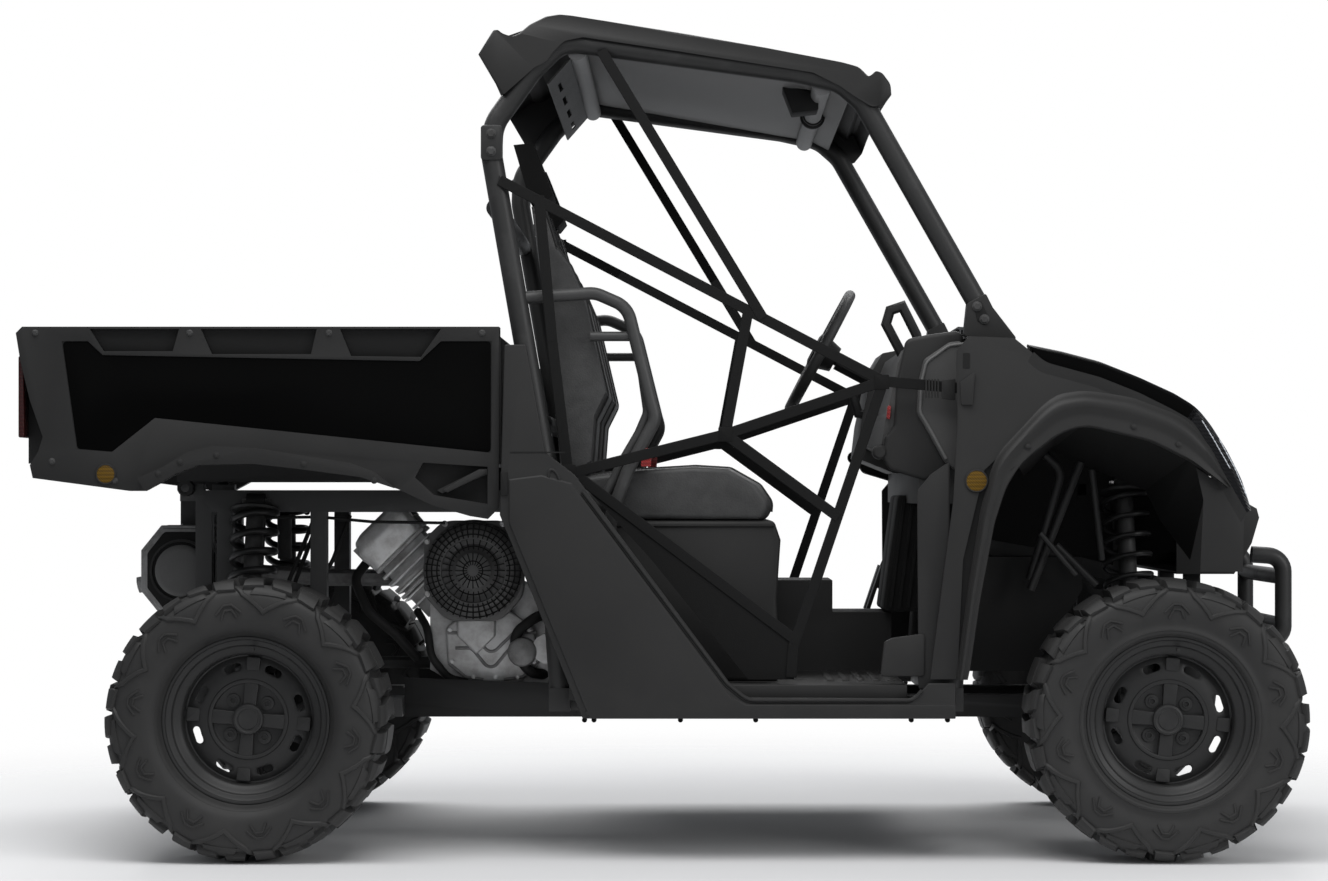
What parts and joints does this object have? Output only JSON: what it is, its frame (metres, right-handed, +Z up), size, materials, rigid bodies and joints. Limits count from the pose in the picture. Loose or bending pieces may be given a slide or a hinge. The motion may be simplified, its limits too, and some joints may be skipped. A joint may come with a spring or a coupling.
{
  "type": "side by side utility vehicle",
  "caption": "Two seat side by side utility vehicle with an open cab, roll cage, roof, tipping cargo bed with tailgate, lifting hood and steered front wheels.",
  "frame": {"origin": "on the ground under the middle of the overall length and width", "axes": "+X forward, +Y to the vehicle's left, +Z up"},
  "size_m": [3.0444, 1.56, 1.99],
  "materials": {
    "tyre_front_left": "matte",
    "tyre_front_right": "matte",
    "tyre_rear_left": "matte",
    "tyre_rear_right": "matte",
    "rim_front_left": "satin",
    "rim_front_right": "satin",
    "rim_rear_left": "satin",
    "rim_rear_right": "satin",
    "knuckle_left": "cast",
    "knuckle_right": "cast",
    "tie_rods": "satin",
    "steering_wheel": "textured",
    "rops_sides": "satin",
    "rops_crossbars": "satin",
    "bed_sides": "textured",
    "bed_tub": "textured",
    "tail_lamps": "gloss",
    "tailgate": "textured",
    "side_panels": "textured",
    "floor": "textured",
    "seat_base": "textured",
    "seat_cushions": "grained",
    "seat_backs": "grained",
    "dash": "textured",
    "steering_column": "satin",
    "controls": "satin",
    "fenders": "textured",
    "hood": "textured",
    "front_fascia": "textured",
    "headlamps": "clear",
    "roof": "textured",
    "side_nets": "woven",
    "hip_bars": "satin",
    "frame_lower": "satin",
    "frame_rear": "satin",
    "frame_front": "satin",
    "front_bumper": "satin",
    "engine": "cast",
    "cvt_cover": "textured",
    "exhaust": "satin",
    "driveline": "cast",
    "half_shafts": "satin",
    "suspension_arms": "satin",
    "rear_knuckles": "cast",
    "shocks": "satin"
  },
  "bodies": {
    "chassis": {"rops_sides": "rops_sides", "rops_crossbars": "rops_crossbars", "side_panels": "side_panels", "floor": "floor", "seat_base": "seat_base", "seat_cushions": "seat_cushions", "seat_backs": "seat_backs", "dash": "dash", "steering_column": "steering_column", "controls": "controls", "fenders": "fenders", "front_fascia": "front_fascia", "headlamps": "headlamps", "roof": "roof", "side_nets": "side_nets", "hip_bars": "hip_bars", "frame_lower": "frame_lower", "frame_rear": "frame_rear", "frame_front": "frame_front", "front_bumper": "front_bumper", "engine": "engine", "cvt_cover": "cvt_cover", "exhaust": "exhaust", "driveline": "driveline", "half_shafts": "half_shafts", "suspension_arms": "suspension_arms", "rear_knuckles": "rear_knuckles", "shocks": "shocks"},
    "hood": {"hood": "hood"},
    "cargo_bed": {"bed_sides": "bed_sides", "bed_tub": "bed_tub", "tail_lamps": "tail_lamps"},
    "tailgate": {"tailgate": "tailgate"},
    "steering_wheel": {"steering_wheel": "steering_wheel"},
    "tie_rods": {"tie_rods": "tie_rods"},
    "knuckle_left": {"knuckle_left": "knuckle_left"},
    "knuckle_right": {"knuckle_right": "knuckle_right"},
    "wheel_front_left": {"tyre_front_left": "tyre_front_left", "rim_front_left": "rim_front_left"},
    "wheel_front_right": {"tyre_front_right": "tyre_front_right", "rim_front_right": "rim_front_right"},
    "wheel_rear_left": {"tyre_rear_left": "tyre_rear_left", "rim_rear_left": "rim_rear_left"},
    "wheel_rear_right": {"tyre_rear_right": "tyre_rear_right", "rim_rear_right": "rim_rear_right"}
  },
  "joints": [
    {"name": "steer_left", "type": "hinge", "parent": "chassis", "child": "knuckle_left", "pos_m": [1.152, 0.588, 0.33], "axis": [0, 0, 1], "range_deg": [-30, 30]},
    {"name": "steer_right", "type": "hinge", "parent": "chassis", "child": "knuckle_right", "pos_m": [1.152, -0.588, 0.33], "axis": [0, 0, 1], "range_deg": [-30, 30]},
    {"name": "steering_wheel_turn", "type": "hinge", "parent": "chassis", "child": "steering_wheel", "pos_m": [0.387, 0.33, 1.229], "axis": [-0.8829, 0, 0.4695], "range_deg": [-270, 270]},
    {"name": "rack_slide", "type": "slide", "parent": "chassis", "child": "tie_rods", "axis": [0, 1, 0], "range_m": [-0.056, 0.056]},
    {"name": "wheel_front_left_spin", "type": "hinge", "parent": "knuckle_left", "child": "wheel_front_left", "pos_m": [1.152, 0.665, 0.33], "axis": [0, 1, 0], "continuous": true},
    {"name": "wheel_front_right_spin", "type": "hinge", "parent": "knuckle_right", "child": "wheel_front_right", "pos_m": [1.152, -0.665, 0.33], "axis": [0, 1, 0], "continuous": true},
    {"name": "wheel_rear_left_spin", "type": "hinge", "parent": "chassis", "child": "wheel_rear_left", "pos_m": [-0.983, 0.64, 0.33], "axis": [0, 1, 0], "continuous": true},
    {"name": "wheel_rear_right_spin", "type": "hinge", "parent": "chassis", "child": "wheel_rear_right", "pos_m": [-0.983, -0.64, 0.33], "axis": [0, 1, 0], "continuous": true},
    {"name": "bed_tip", "type": "hinge", "parent": "chassis", "child": "cargo_bed", "pos_m": [-1.188, 0, 0.868], "axis": [0, -1, 0], "range_deg": [0, 45]},
    {"name": "tailgate_drop", "type": "hinge", "parent": "cargo_bed", "child": "tailgate", "pos_m": [-1.502, 0, 0.952], "axis": [0, -1, 0], "range_deg": [0, 90]},
    {"name": "hood_lift", "type": "hinge", "parent": "chassis", "child": "hood", "pos_m": [0.706, 0, 1.22], "axis": [0, -1, 0], "range_deg": [0, 55]}
  ],
  "couplings": [
    {"joint": "steer_right", "follows": "steer_left", "ratio": 1},
    {"joint": "steering_wheel_turn", "follows": "steer_left", "ratio": 9},
    {"joint": "rack_slide", "follows": "steer_left", "m_per_rad": -0.105}
  ]
}
